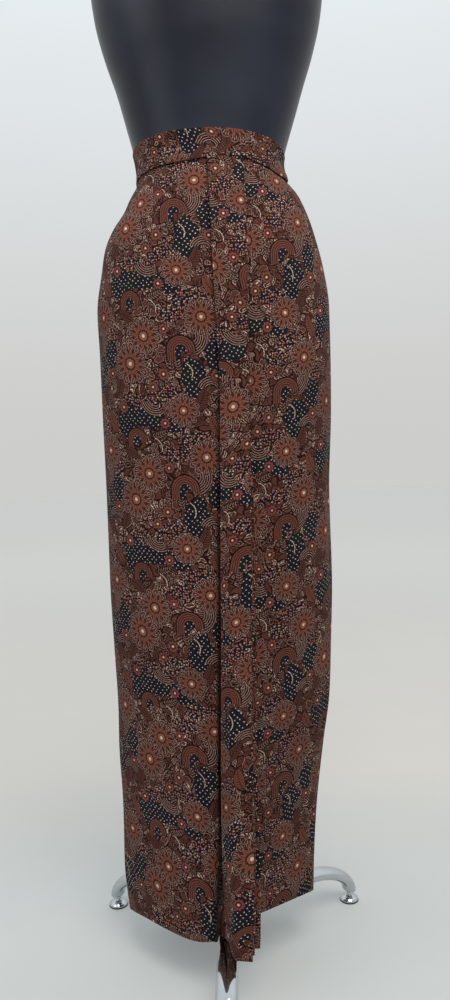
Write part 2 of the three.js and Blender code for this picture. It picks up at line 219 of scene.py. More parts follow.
def eased(value, start, end):
    """0 before start, 1 after end, and smooth between."""
    share = np.clip((value - start) / (end - start), 0, 1)
    return share * share * (3 - 2 * share)


def bump(value, centre, width):
    """1 at a centre, and near 0 at twice the width from it."""
    return np.exp(-(((value - centre) / width) ** 2))


# ---- outlines ----

def skirt_section(z):
    """The skirt's outline at some heights."""
    return smooth_rows(SKIRT, "z", z)


def form_section(z, most_lean=3.4, full_lean_z=1290):
    """The form's outline at some heights. Above the waist it leans a little to the right."""
    rows = smooth_rows(FORM, "z", z)
    rounds = {name: rows["round"] for name in ("left_round", "right_round", "back_round")}
    lean = most_lean * eased(z, WAIST_Z, full_lean_z)
    sides = {"left": lean - rows["half"], "right": lean + rows["half"], "crest": lean}
    return {**rows, **rounds, **sides}


def outline(rows, turn):
    """x and y of an outline at a turn in degrees."""
    angle = np.radians(turn)
    at_front = np.sin(angle) >= 0
    at_left = np.cos(angle) >= 0
    crest = np.where(at_front, rows["crest"], (rows["left"] + rows["right"]) / 2)
    front_round = np.where(at_left, rows["left_round"], rows["right_round"])
    power = 2 / np.where(at_front, front_round, rows["back_round"])
    side = np.where(at_left, rows["left"], rows["right"])
    depth = np.where(at_front, -rows["front"], rows["back"])
    x = crest + (side - crest) * np.abs(np.cos(angle)) ** power
    return x, depth * np.abs(np.sin(angle)) ** power


def front_turn(rows, x):
    """The turn at which the front of an outline has a given x."""
    at_left = x < rows["crest"]
    side = np.where(at_left, rows["left"], rows["right"])
    power = np.where(at_left, rows["left_round"], rows["right_round"]) / 2
    share = np.clip((x - rows["crest"]) / (side - rows["crest"]), 0, 1) ** power
    return np.degrees(np.arccos(np.where(at_left, share, -share)))


def edge_height(edge, turn):
    """The height of a hem or a band's edge at some turns."""
    return smooth_rows(edge, "turn", turn % 360)["z"]


def seam_turn(z, at_waist=22):
    """The side seams sit a little to the front at the waist and reach the sides at the hip."""
    return at_waist * np.clip((z - HIP_Z) / (WAIST_Z - HIP_Z), 0, 1) ** 2


def hang_share(z):
    """0 where the cloth lies on the hips, and 1 at the end of the pleated strip."""
    return np.clip((HANG_START_Z - z) / (HANG_START_Z - STRIP_END_Z), 0, 1)


# ---- grids ----
# A grid is an array of rows, which run down, of points, which run to the right as seen from
# outside.

def laid(marks, steps):
    """Values at steps along a list of marks: 0 is at the first, 1 at the second, and so on."""
    index = np.minimum(steps.astype(int), len(marks) - 2)
    share = steps - index
    marks = np.stack(np.broadcast_arrays(*marks, np.zeros(len(steps))), axis=0)[:-1]
    columns = np.arange(len(steps))
    before, after = marks[index, :, columns].T, marks[index + 1, :, columns].T
    return before + (after - before) * share


def steps_over(*counts):
    """Even steps, so many in each stretch from one mark to the next."""
    parts = [k + np.arange(count) / count for k, count in enumerate(counts)]
    return np.concatenate([*parts, [len(counts)]])


def rounded(points, times):
    """Evens a grid out along its rows, with its two ends kept."""
    for _ in range(times):
        middle = (points[:, :-2] + 2 * points[:, 1:-1] + points[:, 2:]) / 4
        points = np.concatenate([points[:, :1], middle, points[:, -1:]], axis=1)
    return points


def outward(points):
    """The direction square to a grid, away from the pole."""
    square = np.cross(np.gradient(points, axis=0), np.gradient(points, axis=1))
    return square / np.maximum(norm(square, axis=2, keepdims=True), 1e-9)


def flat_map(points, origin=0):
    """Where each point of a grid lies on its flat cloth: across from a column, and up."""
    steps = norm(np.diff(points, axis=1), axis=2)
    across = np.concatenate([np.zeros((len(points), 1)), np.cumsum(steps, axis=1)], axis=1)
    across -= across[:, origin:origin + 1]
    falls = norm(np.diff(points, axis=0), axis=2)
    fallen = np.concatenate([np.zeros((1, points.shape[1])), np.cumsum(falls, axis=0)])
    return np.stack([across, points[:1, :, 2] - fallen], axis=2)


def folded(points, where, folds, sway_length=70):
    """Presses soft troughs and ridges into a grid.

    Each fold runs from top down to bottom, at a place across the flat cloth that leans and
    sways as it falls, and stands out by height, which is negative for a trough.
    """
    across, up = where[..., 0], where[..., 1]
    lift = np.zeros(across.shape)
    for k in range(len(folds["top"])):
        fold = {name: column[k] for name, column in folds.items()}
        fallen = fold["top"] - up
        sway = fold["sway"] * np.sin(fallen / sway_length + k)
        centre = fold["across"] + fold["lean"] * fallen + sway
        fade = eased(up, fold["bottom"], fold["bottom"] + fold["fade"])
        fade *= 1 - eased(up, fold["top"] - fold["fade"], fold["top"])
        lift += fold["height"] * fade * bump(across, centre, fold["width"])
    return points + outward(points) * lift[..., None]


def turned_up(points, where, depth=12, radius=0.5):
    """Adds a hem to a grid: a tight fold at its lower edge, and the cloth turned up behind."""
    normal = outward(points)
    down = points[-1] - points[-2]
    row_height = norm(down, axis=1).mean()
    down /= norm(down, axis=1, keepdims=True)
    rows, maps = [*points], [*where]
    middle = points[-1] - normal[-1] * radius
    for angle in np.radians([45, 90, 135]):
        rows.append(middle + radius * (normal[-1] * cos(angle) + down * sin(angle)))
        maps.append(maps[-1] - (0, radius * pi / 4))
    for k in range(1, 2 + int(depth / row_height)):
        rows.append(points[-k] - normal[-k] * 2 * radius)
        maps.append(maps[-1] - (0, row_height if k > 1 else radius * pi / 4))
    return np.array(rows), np.array(maps)


# ---- making pieces ----

def set_down(points):
    """Points in millimetres around the pole, as points of the frame in metres."""
    return np.asarray(points, float).reshape(-1, 3) * MM + (POLE.x, POLE.y, 0)


def new_object(name, data):
    made = bpy.data.objects.new(name, data)
    bpy.context.collection.objects.link(made)
    return made


def new_piece(name, vertices, faces, material, replaces):
    """A smooth piece that rides on the object and stands for some of its solids."""
    mesh = bpy.data.meshes.new(name)
    mesh.from_pydata(set_down(vertices).tolist(), [], faces)
    mesh.polygons.foreach_set("use_smooth", [True] * len(mesh.polygons))
    mesh.materials.append(material)
    piece = new_object(name, mesh)
    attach(piece, BODY)
    if replaces:
        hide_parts(*replaces)
    return piece


def grid_faces(rows, columns, closed=False):
    """The four corners of each face of a grid, as numbers of its points."""
    down = np.arange(rows - 1)
    along = np.arange(columns if closed else columns - 1)
    r, c = (a.ravel() for a in np.meshgrid(down, along, indexing="ij"))
    right = (c + 1) % columns
    above, below = r * columns, (r + 1) * columns
    return np.stack([above + c, below + c, below + right, above + right], axis=1)


def cloth_piece(name, points, where, replaces, shift=(0, 0), thickness=CLOTH):
    """A sheet of cloth from a grid of its middle, with its map of the flat cloth.

    shift is where on the printed length this piece was cut, in millimetres.
    """
    faces = grid_faces(*points.shape[:2])
    piece = new_piece(name, points, faces.tolist(), BATIK, replaces)
    layer = piece.data.uv_layers.new(name="Cloth")
    flat = (where + np.array(shift)).reshape(-1, 2) * MM
    layer.data.foreach_set("uv", flat[faces.ravel()].ravel())
    wall = piece.modifiers.new("Thickness", "SOLIDIFY")
    wall.thickness = thickness * MM
    wall.offset = 0
    return piece


def ring_piece(name, rings, material, replaces):
    """A solid from rings of points, from the top down, closed by a lid at each end."""
    rings = np.asarray(rings, float)
    rows, columns = rings.shape[:2]
    faces = grid_faces(rows, columns, closed=True).tolist()
    faces.append(list(range(columns)))
    faces.append(list(range(rows * columns - 1, (rows - 1) * columns - 1, -1)))
    return new_piece(name, rings, faces, material, replaces)


def turned_piece(name, profile, material, replaces, centre=(0, 0), sides=64):
    """A turned solid from a profile of radii and heights, from the top down."""
    angles = np.linspace(0, TURN, sides, endpoint=False)
    rings = [
        [(centre[0] - r * cos(a), centre[1] - r * sin(a), z) for a in angles]
        for r, z in profile
    ]
    return ring_piece(name, rings, material, replaces)


def softened(profile, radius, steps=4, most=0.45):
    """A profile with its inner corners rounded off: by a radius, or at most a share of a side."""
    profile = np.array(profile, float)
    result = [profile[0]]
    t = np.linspace(0, 1, steps + 1)[:, None]
    for before, corner, after in zip(profile, profile[1:], profile[2:]):
        legs = [before - corner, after - corner]
        sizes = [norm(leg) for leg in legs]
        reach = [min(radius, size * most) / size for size in sizes]
        start, end = (corner + leg * share for leg, share in zip(legs, reach))
        result.extend((1 - t) ** 2 * start + 2 * t * (1 - t) * corner + t ** 2 * end)
    return [*result, profile[-1]]


# ---- materials ----

def linear(code):
    """A colour from its hexadecimal code."""
    parts = [int(code[k:k + 2], 16) / 255 for k in (0, 2, 4)]
    return [((p + 0.055) / 1.055) ** 2.4 if p > 0.04045 else p / 12.92 for p in parts] + [1]


class Nodes:
    """The nodes of a material or of the world, which end in one shader."""

    def __init__(self, owner, shader="Principled BSDF"):
        owner.use_nodes = True
        self.owner = owner
        self.tree = owner.node_tree
        self.shader = self.tree.nodes[shader]

    def join(self, value, socket):
        """Sets a socket to a value, a colour's code or what another socket gives."""
        if isinstance(value, Value):
            self.tree.links.new(value.socket, socket)
        elif isinstance(value, str):
            socket.default_value = linear(value)
        else:
            socket.default_value = value

    def set(self, node, inputs):
        """Sets a node's inputs by name."""
        for name, value in inputs.items():
            self.join(value, node.inputs[name.replace("_", " ")])

    def looks(self, **inputs):
        """Sets the shader's inputs by name, and gives back the material or the world."""
        self.set(self.shader, inputs)
        return self.owner

    def new(self, kind, output, settings=(), **inputs):
        """One output of a new node, with its settings and its inputs given by name."""
        node = self.tree.nodes.new("ShaderNode" + kind)
        for name, setting in dict(settings).items():
            setattr(node, name, setting)
        self.set(node, inputs)
        return Value(self, node.outputs[output])

    def mix(self, below, above, share):
        """One colour over another: the node's inputs 6 and 7, and its output 2."""
        node = self.tree.nodes.new("ShaderNodeMix")
        node.data_type = "RGBA"
        for number, value in ((0, share), (6, below), (7, above)):
            self.join(value, node.inputs[number])
        return Value(self, node.outputs[2])

    def grain(self, scale, detail):
        """Noise that stays where it is on a piece."""
        place = self.new("TexCoord", "Object")
        return self.new("TexNoise", 0, Vector=place, Scale=scale, Detail=detail)

    def ramp(self, value, start, end):
        """0 at the start, 1 at the end, and smooth between."""
        settings = {"interpolation_type": "SMOOTHSTEP"}
        return self.new("MapRange", 0, settings, Value=value, From_Min=start, From_Max=end)


class Value:
    """A number or a place in some nodes, which can be added, scaled and compared."""

    def __init__(self, nodes, socket):
        self.nodes = nodes
        self.socket = socket

    def through(self, kind, operation, *others, output=0):
        """What a new node makes of this value and others."""
        node = self.nodes.tree.nodes.new("ShaderNode" + kind)
        node.operation = operation
        for socket, value in zip(node.inputs, (self, *others)):
            self.nodes.join(value, socket)
        return Value(self.nodes, node.outputs[output])

    number = partialmethod(through, "Math")
    vector = partialmethod(through, "VectorMath")
    __add__ = partialmethod(number, "ADD")
    __sub__ = partialmethod(number, "SUBTRACT")
    __mul__ = partialmethod(number, "MULTIPLY")
    __truediv__ = partialmethod(number, "DIVIDE")
    below = partialmethod(number, "LESS_THAN")
    above = partialmethod(number, "GREATER_THAN")
    fraction = partialmethod(number, "FRACT")
    size = partialmethod(number, "ABSOLUTE")
    length = partialmethod(vector, "LENGTH", output=1)

    def between(self, low, high):
        return self.above(low) * self.below(high)

    def parts(self):
        node = self.nodes.tree.nodes.new("ShaderNodeSeparateXYZ")
        self.nodes.join(self, node.inputs[0])
        return [Value(self.nodes, socket) for socket in node.outputs]


# ---- the batik ----

# Grounds and outlines, then leaves and petals, then petal tips and the green of the ground,
# then lines and dots.
NAVY, INK, DEEP = "11131f", "190b09", "2c160f"
UMBER, BROWN, RUST, RED = "40211a", "532f27", "6f4134", "743d38"
PETAL_TIP, PINE = "80503f", "101a19"
TAN, CREAM, PINK, ORANGE = "907166", "d0b7a6", "b87c70", "b8734f"

REPEAT = (158, 186)


class Batik(Nodes):
    """Paints a batik print, one layer over another, in millimetres on the flat cloth."""

    def __init__(self, material):
        super().__init__(material)
        place = self.new("UVMap", 0, {"uv_map": "Cloth"})
        self.flat = place.vector("MULTIPLY", (1 / MM, 1 / MM, 0))
        self.place = self.shaken(self.flat, scale=0.3, reach=1.3, detail=1)
        self.colour = None
        self.ground = None

    def noise(self, place, scale, detail=2):
        settings = {"noise_dimensions": "2D"}
        return self.new("TexNoise", 1, settings, Vector=place, Scale=scale, Detail=detail)

    def shaken(self, place, scale, reach, detail=2):
        """A place moved unevenly, by up to half of its reach each way."""
        way = self.noise(place, scale, detail).vector("SUBTRACT", (0.5, 0.5, 0.5))
        return place.vector("ADD", way.vector("MULTIPLY", (reach, reach, 0)))

    def cells(self, place, pitch, output, loose=0.9, feature="F1"):
        settings = {"voronoi_dimensions": "2D", "feature": feature}
        return self.new("TexVoronoi", output, settings,
                        Vector=place, Scale=1 / pitch, Randomness=loose)

    def paint(self, colour, where):
        self.colour = self.mix(self.colour, colour, where)

    def around(self, centre, turn=0):
        """The way from a motif's centre in the nearest repeat, turned to the motif's own x."""
        half = (REPEAT[0] / 2, REPEAT[1] / 2, 1)
        offset = self.place.vector("SUBTRACT", (*centre, 0))
        offset = offset.vector("WRAP", half, tuple(-h for h in half))
        return self.turned(offset, -turn) if turn else offset

    def turned(self, place, degrees):
        return self.new("VectorRotate", 0, {"rotation_type": "Z_AXIS"},
                        Vector=place, Angle=radians(degrees))

    def polar(self, offset):
        """Distance from a centre, and the turn round it from 0 to 1."""
        x, y, _ = offset.parts()
        return offset.length(), y.number("ARCTAN2", x) / TURN + 0.5

    def petals_of(self, centre, radius, count, turn):
        """The distance from a flower's centre over its radius, the turn round it, and how far
        off the middle of a petal: 0 to 1."""
        distance, share = self.polar(self.around(centre, turn))
        distance = distance / radius
        side = ((share * count).fraction() - 0.5).size() * 2
        return distance, share, side

    def spots(self, share, distance, count, ring, radius):
        """A ring of round spots about a centre."""
        along = ((share * count).fraction() - 0.5) * (TURN * ring / count)
        out = distance - ring
        return (along * along + out * out).below(radius * radius)

    # -- grounds --

    def ground_tone(self):
        """The dark ground, navy that turns to a greenish black where the noise is high."""
        cloud = self.noise(self.place, scale=0.03).parts()[0]
        return self.mix(NAVY, PINE, cloud * 6 - 3)

    def dotted(self, pitch=5.6, radius=0.77, slant=38):
        """A dark ground with uneven slanting rows of resist dots."""
        spot = self.cells(self.turned(self.place, slant), pitch, "Distance", loose=0.32)
        return self.mix(self.ground_tone(), CREAM, spot.below(radius / pitch))

    def leaves(self, pitch=9.5):
        """Close-packed leaves, outlined in light lines and filled with rows of dots."""
        place = self.shaken(self.place, scale=0.035, reach=22)
        centre = self.cells(place, pitch, "Position")
        chance, tilt, kind = self.cells(place, pitch, "Color").parts()
        edge = self.cells(place, pitch, "Distance", feature="DISTANCE_TO_EDGE") * pitch
        offset = place.vector("SUBTRACT", centre)
        x, y, _ = offset.parts()
        angle = tilt * TURN
        across = x * angle.number("COSINE") + y * angle.number("SINE")
        hatching = ((across + offset.length() * 0.4) / 3.2).fraction().below(0.4)
        rings = (edge / 3).fraction().between(0.3, 0.75)
        grain = self.cells(self.place, 2.4, "Distance", loose=0.5).below(0.46)
        fill = self.mix(hatching, rings, kind.below(0.6)) * grain
        ink = self.mix(UMBER, INK, chance.below(0.5))
        line = self.mix(TAN, CREAM, chance.above(0.5))
        line = self.mix(line, RUST, tilt.above(0.65))
        colour = self.mix(ink, line, fill)
        colour = self.mix(colour, BROWN, chance.below(0.16))
        rim = self.mix(BROWN, TAN, kind.above(0.55) * grain)
        colour = self.mix(colour, rim, edge.between(0.8, 1.7))
        return self.mix(colour, INK, edge.below(0.8))

    def florets(self, pitch=3.7, petals=5, loose=0.75):
        """Tiny flowers, close together on the dark ground."""
        centre = self.cells(self.place, pitch, "Position", loose)
        chance, tint, _ = self.cells(self.place, pitch, "Color", loose).parts()
        distance, share = self.polar(self.place.vector("SUBTRACT", centre))
        reach = (share * (petals * TURN)).number("COSINE") * 0.24 + 0.9
        light = self.mix(self.mix(PINK, ORANGE, tint.above(0.5)), CREAM, chance.above(0.8))
        colour = self.mix(self.ground_tone(), light, distance.below(reach))
        return self.mix(colour, DEEP, distance.below(0.3))

    def patches(self, patches, wobble=0.8):
        """1 inside any of some ovals with uneven edges: centre, half-width and half-height."""
        uneven = self.noise(self.flat, scale=0.055, detail=3).parts()[0] - 0.5
        inside = None
        for x, y, wide, high in patches:
            offset = self.around((x, y)).vector("DIVIDE", (wide, high, 1)).length()
            inside = offset if inside is None else inside.number("MINIMUM", offset)
        return (inside + uneven * wobble).below(1)

    # -- motifs, the parts of a flower as shares of its radius --

    def flower(self, centre, radius, petals, turn, ruff=0.3, rim=0.07):
        """Two rings of pointed petals round a ring of seeds, with a scalloped ruff of rays."""
        distance, share, side = self.petals_of(centre, radius, petals, turn)
        edge = side * side * -ruff + (1.1 + ruff) - distance
        ray = (share * (petals * 4)).fraction().below(0.4)
        self.paint(self.mix(UMBER, TAN, ray), edge.above(0))
        self.paint(INK, edge.between(0.05, 0.14))
        self.paint(TAN, edge.between(0, 0.05))
        behind = side * 0.4 + 0.56
        self.paint(INK, distance.below(behind + rim))
        self.paint(UMBER, distance.below(behind))
        reach = side * -0.42 + 1.0
        self.paint(INK, distance.below(reach + rim))
        self.paint(self.mix(RUST, PETAL_TIP, distance * 1.6 - 0.7), distance.below(reach))
        self.paint(UMBER, side.below(0.14) * distance.between(0.4, 0.74))
        self.paint(INK, distance.below(0.43))
        self.paint(BROWN, self.spots(share, distance, petals + 3, ring=0.38, radius=0.035))
        self.paint(PETAL_TIP, distance.below(0.32))
        self.paint(CREAM, distance.below(0.12))

    def blossom(self, centre, radius, petals, turn, petal=RUST, rim=0.14):
        """A small flower with one ring of petals."""
        distance, _, side = self.petals_of(centre, radius, petals, turn)
        reach = side * -0.34 + 1.0
        self.paint(INK, distance.below(reach + rim))
        self.paint(petal, distance.below(reach))
        self.paint(INK, distance.below(0.46))
        self.paint(petal, distance.below(0.32))
        self.paint(CREAM, distance.below(0.17))

    def arch(self, centre, outer, inner, left_leg=14, right_leg=2, bands=4):
        """Nested bands over a dotted middle, with one leg longer than the other."""
        x, y, _ = self.around(centre).parts()
        up = y.number("MAXIMUM", 0)
        out = (x * x + up * up).number("SQRT")
        floor = x.below(0) * (right_leg - left_leg) - right_leg
        standing = y.above(floor)
        self.paint(INK, out.below(outer + 0.9) * standing)
        band = ((out - inner) / ((outer - inner) / bands)).fraction()
        stripe = self.mix(RUST, BROWN, band.above(0.42))
        stripe = self.mix(stripe, INK, band.above(0.72))
        self.paint(stripe, out.between(inner, outer) * standing)
        self.paint(self.ground, out.below(inner - 0.5) * standing)

    def plume(self, centre, length, width, turn, bend, fill=BROWN, veins=INK, lines=3.6):
        """A curved leaf with a rib and side veins, along its own x from its centre."""
        x, y, _ = self.around(centre, turn).parts()
        share = x / length + 0.5
        off = y - x * x * bend
        room = share * (share * -1 + 1) * 4
        edge = room.number("MAXIMUM", 0).number("POWER", 0.7) * width - off.size()
        inside = share.between(0, 1)
        self.paint(INK, edge.above(0) * inside)
        self.paint(fill, edge.above(0.8) * inside)
        vein = ((x - off.size() * 0.8) / lines).fraction().below(0.3)
        self.paint(veins, edge.above(1.6) * vein * inside)
        self.paint(INK, off.size().below(0.4) * edge.above(0.8) * inside)

    def strands(self, centre, inner, outer, start, end, pitch=3.0):
        """A sheaf of thin curved lines that share one centre, from one turn to another."""
        distance, share = self.polar(self.around(centre))
        inside = distance.between(inner, outer) * share.between(start, end)
        line = (distance / pitch).fraction()
        self.paint(self.mix(INK, TAN, line.below(0.34)), inside)

    def beads(self, centre, radius, start, end, size=0.8, rib=1.9):
        """A row of light beads along an arc, on a dark rib."""
        distance, share = self.polar(self.around(centre))
        inside = share.between(start, end)
        self.paint(INK, distance.between(radius - rib, radius + rib) * inside)
        count = round(TURN * radius / (size * 2.6))
        self.paint(CREAM, self.spots(share, distance, count, radius, size) * inside)

    def print_cloth(self):
        """The whole print, from its ground up to its flowers, a little worn and crackled."""
        self.ground = self.dotted()
        self.colour = self.leaves()
        self.paint(self.florets(), self.patches([
            (38, 60, 30, 12), (84, 74, 22, 11), (120, 12, 24, 13), (150, 152, 17, 15),
            (92, 178, 18, 10),
        ]))
        self.paint(self.ground, self.patches([
            (18, 34, 18, 26), (54, 38, 32, 12), (120, 94, 18, 30), (150, 124, 15, 20),
            (92, 34, 18, 13),
        ]))
        self.strands((116, 150), 8, 26, 0.30, 0.62)
        self.strands((64, 66), 8, 22, 0.05, 0.33)
        self.strands((142, 78), 7, 20, 0.55, 0.95)
        for plume in (
            ((128, 64), 40, 8, 62, 0.012), ((98, 116), 34, 6, 98, -0.012, DEEP, TAN),
            ((8, 84), 36, 8, 75, 0.01), ((146, 30), 34, 7, 120, -0.01, RUST, DEEP),
            ((70, 18), 30, 6, 20, 0.015, DEEP, TAN), ((26, 176), 34, 7, 150, 0.012),
        ):
            self.plume(*plume)
        self.arch((104, 132), 20, 8)
        self.arch((34, 8), 17, 7, left_leg=10)
        self.beads((104, 102), 14, 0.42, 0.68)
        self.beads((60, 0), 13, 0.45, 0.72)
        for flower in (
            ((52, 150), 19, 12, 8), ((28, 112), 21, 13, 0),
            ((134, 176), 18, 12, 12), ((104, 52), 16, 12, 4),
        ):
            self.flower(*flower)
        for blossom in (
            ((78, 100), 9, 10, 0), ((12, 52), 9, 9, 10, RED), ((62, 82), 8, 9, 0),
            ((82, 160), 8, 9, 15, RED), ((150, 98), 9, 10, 5), ((78, 34), 8, 9, 5, RED),
        ):
            self.blossom(*blossom)
        worn = self.noise(self.flat, scale=0.012, detail=4).parts()[0]
        colour = self.mix(self.colour, INK, (worn - 0.35) * 0.36)
        crackle = self.noise(self.flat, scale=0.55, detail=3).parts()[0]
        return self.mix(colour, INK, (crackle - 0.4) * 0.9)


def batik_cotton(warp=0.45, weft=0.5):
    """Printed cotton with a fine weave, whose threads are so many millimetres apart."""
    batik = Batik(bpy.data.materials.new("batik_cotton"))
    x, y, _ = batik.flat.parts()
    threads = (x * (TURN / warp)).number("SINE") * (y * (TURN / weft)).number("SINE")
    slubs = batik.noise(batik.flat.vector("MULTIPLY", (0.25, 2.2, 0)), scale=1)
    height = threads * 0.02 + slubs.parts()[0] * 0.05
    weave = batik.new("Bump", 0, Height=height, Strength=0.5, Distance=0.001)
    return batik.looks(Base_Color=batik.print_cloth(), Roughness=0.85, Specular_IOR_Level=0.09,
                       Sheen_Weight=0.02, Sheen_Roughness=0.5, Normal=weave)


def form_shell():
    """A softly shining charcoal skin, slightly uneven in tone, tinted blue as painted reflection.
    """
    nodes = Nodes(bpy.data.materials.new("form_shell"))
    mottle = nodes.grain(scale=7, detail=3)
    pits = nodes.grain(scale=900, detail=2)
    return nodes.looks(Roughness=mottle * 0.2 + 0.28, Specular_IOR_Level=0.25,
                       # The skin itself is near black; the blue in these two colours is a painted
                       # reflection of the room's bluish light.
                       Base_Color=nodes.mix("0d0f18", "212533", mottle * 2 - 0.5),
                       Normal=nodes.new("Bump", 0, Height=pits, Strength=0.12, Distance=0.0006))


def chrome():
    """Bright metal with faint smears."""
    nodes = Nodes(bpy.data.materials.new("chrome"))
    smear = nodes.grain(scale=35, detail=6)
    return nodes.looks(Metallic=1.0, Roughness=smear * 0.1 + 0.02,
                       Base_Color=nodes.mix("b6babc", "cfd2d2", smear))


def rubber():
    """Dark rubber with a fine speckle."""
    nodes = Nodes(bpy.data.materials.new("foot_rubber"))
    speckle = nodes.grain(scale=600, detail=2)
    return nodes.looks(Roughness=speckle * 0.25 + 0.5,
                       Base_Color=nodes.mix("101010", "1e1e1e", speckle))


BATIK = batik_cotton()
FORM_SHELL = form_shell()
CHROME = chrome()
RUBBER = rubber()


# ---- cloth pieces ----

# Creases, as folded() takes them.
FOLD = "across top bottom width height lean sway fade"
LEFT_FOLDS = table(
    FOLD,
    (-150, 1140, 1052, 5, -1.2, -0.10, 0, 40),
    (-138, 1140, 1060, 6, 0.9, -0.10, 0, 40),
    (-120, 1142, 1085, 8, -1.0, -0.1, 0, 30),
    (-84, 1142, 1096, 7, -0.9, 0, 0, 30),
    (-46, 1142, 1100, 7, -0.8, 0, 0, 26),
    (-150, 860, 420, 16, -1.4, 0, 3, 160),
    (-110, 420, 80, 18, 1.2, 0, 3, 120),
)
RIGHT_FOLDS = table(
    FOLD,
    (120, 1140, 1070, 5, -1.6, 0.16, 0, 30),
    (104, 1140, 1085, 6, 1.0, 0.12, 0, 30),
    (84, 1142, 1100, 7, -0.8, 0, 0, 26),
    (60, 1142, 1105, 7, -0.7, 0, 0, 26),
    (150, 820, 420, 9, -2.4, 0, 2, 140),
    (134, 520, 150, 10, -1.6, 0, 3, 140),
    (90, 700, 100, 22, 1.0, 0, 4, 200),
)
BACK_FOLDS = table(
    FOLD,
    (-110, 1142, 1060, 8, -1.2, -0.1, 1, 40),
    (-62, 1142, 1000, 9, -1.6, -0.04, 2, 60),
    (-24, 1142, 1080, 7, -1.0, 0, 1, 40),
    (20, 1142, 1060, 8, -1.2, 0, 1, 40),
    (66, 1142, 1000, 9, -1.6, 0.04, 2, 60),
    (112, 1142, 1070, 8, -1.1, 0.1, 1, 40),
    (-130, 840, 200, 20, -1.6, 0, 4, 200),
    (-40, 780, 90, 22, 1.4, 0, 5, 200),
    (48, 820, 90, 22, -1.5, 0, 5, 200),
    (128, 800, 180, 18, 1.3, 0, 4, 180),
)
BAND_FOLDS = table(
    FOLD,
    (150, 1181, 1148, 5, -0.5, 0.2, 0, 8),
    (290, 1181, 1148, 6, -0.4, -0.2, 0, 8),
    (560, 1181, 1150, 5, -0.5, 0.1, 0, 8),
)


def panel_points(shape, steps, hem, rows=230):
    """A panel's grid, down to its hem, from a shape that gives marks and lifts at a height.

    By the right hip it draws in just under the band, which stands away there.
    """
    share = np.linspace(0, 1, rows)[:, None] + np.zeros(len(steps))
    bottom = hem["z"].mean()
    for _ in range(3):
        z = PANEL_TOP_Z + (bottom - PANEL_TOP_Z) * share
        turn = laid(shape(z)[0], steps)
        bottom = smooth_rows(hem, "turn", turn[-1])["z"]
    points = np.stack([*outline(skirt_section(z), turn), z], axis=2)
    points = rounded(points, times=14)
    lift = rounded(laid(shape(z)[1], steps)[..., None], times=6)[..., 0]
    band_z = edge_height(BAND_BOTTOM, turn)
    tucked = eased(z, band_z - 7, band_z + 1) * (1 - eased(z, band_z + 4, WAIST_Z + 0.5))
    deepest, right_hip, spread = 2.6, 150, 24
    lift -= deepest * tucked * bump(turn, right_hip, spread)
    return points + outward(points) * lift[..., None]


def seam_pinched(points, start, end, depth=1.1, width=4.0):
    """Draws a grid in along its seams, at either or both of its ends."""
    across = flat_map(points)[..., 0]
    pull = start * bump(across, 0, width) + end * bump(across[:, -1:] - across, 0, width)
    return points - outward(points) * (depth * pull)[..., None]


def panel(name, node, shape, steps, hem, origin, folds, seams, shift):
    """A panel with its creases, its seams drawn in and its hem turned up.

    origin is the column its creases are measured from, and seams says which ends are sewn.
    """
    points = panel_points(shape, steps, hem)
    where = flat_map(points, origin)
    points = folded(points, where, folds)
    points = seam_pinched(points, *seams)
    return cloth_piece(name, *turned_up(points, where), [node], shift)


def strip_edges(z):
    """x of the pleated strip's two edges at some heights."""
    edges = smooth_rows(STRIP, "z", z)
    return edges["left"], edges["right"]


def front_left_panel(valley_depth=22, lip=2.8):
    """It dips into a valley behind the strip, with a lip beside the dip."""
    def shape(z):
        section = skirt_section(z)
        left, right = strip_edges(z)
        valley_width = 4 + 1.5 * hang_share(z) + 11 * eased(z, 230, 90)
        below_waist = 1 - eased(z, WAIST_Z - 40, WAIST_Z)
        sunk = MIDDLE - below_waist - valley_depth * hang_share(z)
        marks = [
            seam_turn(z),
            front_turn(section, left - valley_width),
            front_turn(section, left),
            front_turn(section, left + (right - left) * 2 / 3),
        ]
        return marks, [MIDDLE + 0 * z, MIDDLE + lip * below_waist, sunk, sunk]

    return panel("cloth_front_left", "front_left_panel", shape, steps_over(80, 8, 9),
                 LEFT_HEM, 88, LEFT_FOLDS, seams=(1, 0), shift=(0, 0))


def front_right_panel(layer=1.8):
    """It starts under the strip and lies a layer further out than the left panel."""
    def shape(z):
        section = skirt_section(z)
        left, right = strip_edges(z)
        over = MIDDLE + layer * (1 - 0.65 * eased(z, WAIST_Z - 45, WAIST_Z))
        marks = [
            front_turn(section, left + 4 + 12 * hang_share(z)),
            front_turn(section, right),
            180 - seam_turn(z),
        ]
        return marks, [over, over, MIDDLE + 0 * z]

    return panel("cloth_front_right", "front_right_panel", shape, steps_over(12, 72),
                 RIGHT_HEM, 12, RIGHT_FOLDS, seams=(0, 1), shift=(210, 60))


def back_panel():
    """It hangs between the side seams."""
    def shape(z):
        return [180 - seam_turn(z), 360 + seam_turn(z)], [MIDDLE + 0 * z] * 2

    return panel("cloth_back", "back_panel", shape, steps_over(124),
                 BACK_HEM, 62, BACK_FOLDS, seams=(1, 1), shift=(430, 20))


# Where each stretch of the strip's cloth ends: at the left side or the right, 0 or 1, and how
# far out, from 0 to 1.  Layers run from side to side, and folds stay at one side.
STRETCHES = (
    (1, 0.05), (1, 0.14), (0, 0.18), (0, 0.28), (1, 0.50), (1, 0.62), (0, 0.74), (0, 0.86), (1, 1)
)


def strip_columns(layer_columns=14, fold_columns=6):
    """Where each column of the strip runs across and out, and how far its fold bulges."""
    columns = []
    start, near = 0, 0.0
    for end, far in STRETCHES:
        count = layer_columns if start != end else fold_columns
        share = np.arange(count) / count
        side = 0 if start != end else start * 2 - 1
        columns.append([
            start + (end - start) * share,
            near + (far - near) * share,
            side * np.sin(pi * share),
        ])
        start, near = end, far
    return np.concatenate([*columns, [[1], [1], [0]]], axis=1)


